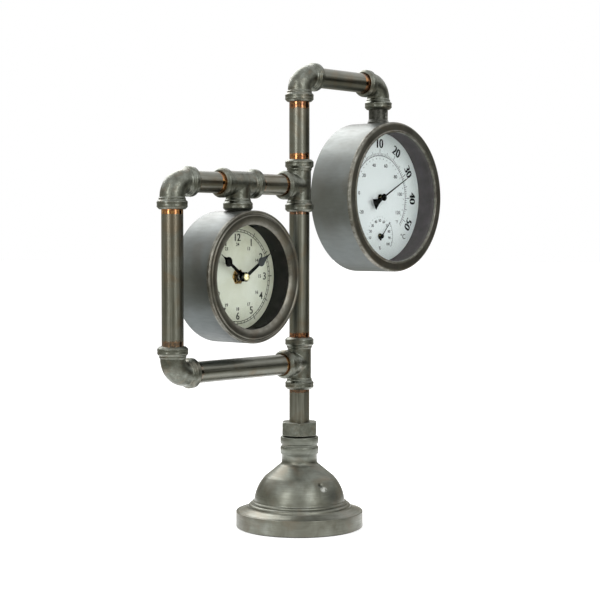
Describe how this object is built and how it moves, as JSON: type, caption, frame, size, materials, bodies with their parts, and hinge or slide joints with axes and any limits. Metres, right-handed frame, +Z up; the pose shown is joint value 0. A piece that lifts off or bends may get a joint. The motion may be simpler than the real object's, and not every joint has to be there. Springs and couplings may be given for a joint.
{
  "type": "pipe-fitting table clock with thermometer-hygrometer",
  "caption": "Table clock on a pipe-and-fitting stand: a round clock in a pipe frame and a larger round thermometer-hygrometer on an upper arm, over a bell base.",
  "frame": {"origin": "centre of the round base's underside, on the table", "axes": "+Z up along the riser pipe; the two dials face -Y; +X is to the right of someone who reads the dials"},
  "size_m": [0.4164, 0.134, 0.4906],
  "materials": {
    "case_steel": "rubbed gunmetal lacquer",
    "bezel_steel": "rubbed gunmetal lacquer with a brown cast",
    "pipe_steel": "raw grey steel, rubbed lengthwise, coppery by the joints",
    "fitting_iron": "raw malleable iron, clear lacquer",
    "base_iron": "raw cast iron, clear lacquer",
    "felt": "black felt",
    "pan_black": "satin dark grey",
    "clock_paper": "aged printed card",
    "gauge_paper": "white printed card",
    "window_glass": "clear flat glass",
    "hand_black": "matt black",
    "brass": "polished",
    "movement_plastic": "fine moulded texture",
    "wheel_plastic": "moulded acetal",
    "bright_steel": "zinc plated",
    "rubber": "matt",
    "cell_wrap": "plain printed sleeve",
    "coil_copper": "enamelled winding wire",
    "board": "glass-fibre board",
    "bimetal": "rolled strip"
  },
  "bodies": {
    "stand": {"base_casting": "base_iron", "base_pad": "felt", "cell": "cell_wrap", "cell_contacts": "bright_steel", "circuit_board": "board", "clock_back_cover": "case_steel", "clock_bezel": "bezel_steel", "clock_case": "case_steel", "clock_dial": "clock_paper", "clock_glass": "window_glass", "clock_nipple": "pipe_steel", "clock_pan": "pan_black", "clock_tee": "fitting_iron", "cover_screws": "bright_steel", "drive_coil": "coil_copper", "frame_bottom_elbow": "fitting_iron", "frame_inner_nipple": "pipe_steel", "frame_lower_arm": "pipe_steel", "frame_outer_nipple": "pipe_steel", "frame_top_elbow": "fitting_iron", "frame_upright": "pipe_steel", "gauge_back_cover": "case_steel", "gauge_bezel": "bezel_steel", "gauge_case": "case_steel", "gauge_dial": "gauge_paper", "gauge_elbow": "fitting_iron", "gauge_glass": "window_glass", "gauge_nipple": "pipe_steel", "gauge_pan": "pan_black", "hexagon_bush": "fitting_iron", "hygrometer_bracket": "bright_steel", "hygrometer_bush": "brass", "hygrometer_coil": "bimetal", "lock_nuts": "fitting_iron", "lower_riser": "pipe_steel", "lower_tee": "fitting_iron", "middle_riser": "pipe_steel", "movement_housing": "movement_plastic", "movement_lid": "movement_plastic", "pan_screws": "bright_steel", "shaft_nut": "brass", "shaft_washer": "rubber", "thermometer_bracket": "bright_steel", "thermometer_bush": "brass", "thermometer_coil": "bimetal", "top_elbow": "fitting_iron", "upper_arm": "pipe_steel", "upper_riser": "pipe_steel", "upper_tee": "fitting_iron"},
    "minute_work": {"minute_arbor": "bright_steel", "minute_hand": "hand_black", "hand_cap_nut": "brass"},
    "hour_work": {"hour_wheel": "wheel_plastic", "hour_hand": "hand_black"},
    "motion_work": {"motion_wheel": "wheel_plastic", "setting_knob": "movement_plastic"},
    "thermometer_work": {"thermometer_spindle": "brass", "thermometer_needle": "hand_black"},
    "hygrometer_work": {"hygrometer_spindle": "brass", "hygrometer_needle": "hand_black"}
  },
  "joints": [
    {"name": "minute_hand_turn", "type": "hinge", "parent": "stand", "child": "minute_work", "pos_m": [-0.0937, 0, 0.2664], "axis": [0, 1, 0], "continuous": true},
    {"name": "hour_hand_turn", "type": "hinge", "parent": "stand", "child": "hour_work", "pos_m": [-0.0937, 0, 0.2664], "axis": [0, 1, 0], "continuous": true},
    {"name": "motion_wheel_turn", "type": "hinge", "parent": "stand", "child": "motion_work", "pos_m": [-0.0937, 0, 0.276], "axis": [0, 1, 0], "continuous": true},
    {"name": "thermometer_needle_turn", "type": "hinge", "parent": "stand", "child": "thermometer_work", "pos_m": [0.1334, 0, 0.3507], "axis": [0, 1, 0], "range_deg": [-183, 57], "stiffness_Nm_per_rad": 0.004},
    {"name": "hygrometer_needle_turn", "type": "hinge", "parent": "stand", "child": "hygrometer_work", "pos_m": [0.1334, 0, 0.3074], "axis": [0, 1, 0], "range_deg": [-163.5, 76.5], "stiffness_Nm_per_rad": 0.001}
  ],
  "couplings": [
    {"joint": "hour_hand_turn", "follows": "minute_hand_turn", "ratio": 0.083333},
    {"joint": "motion_wheel_turn", "follows": "minute_hand_turn", "ratio": -0.33333}
  ]
}
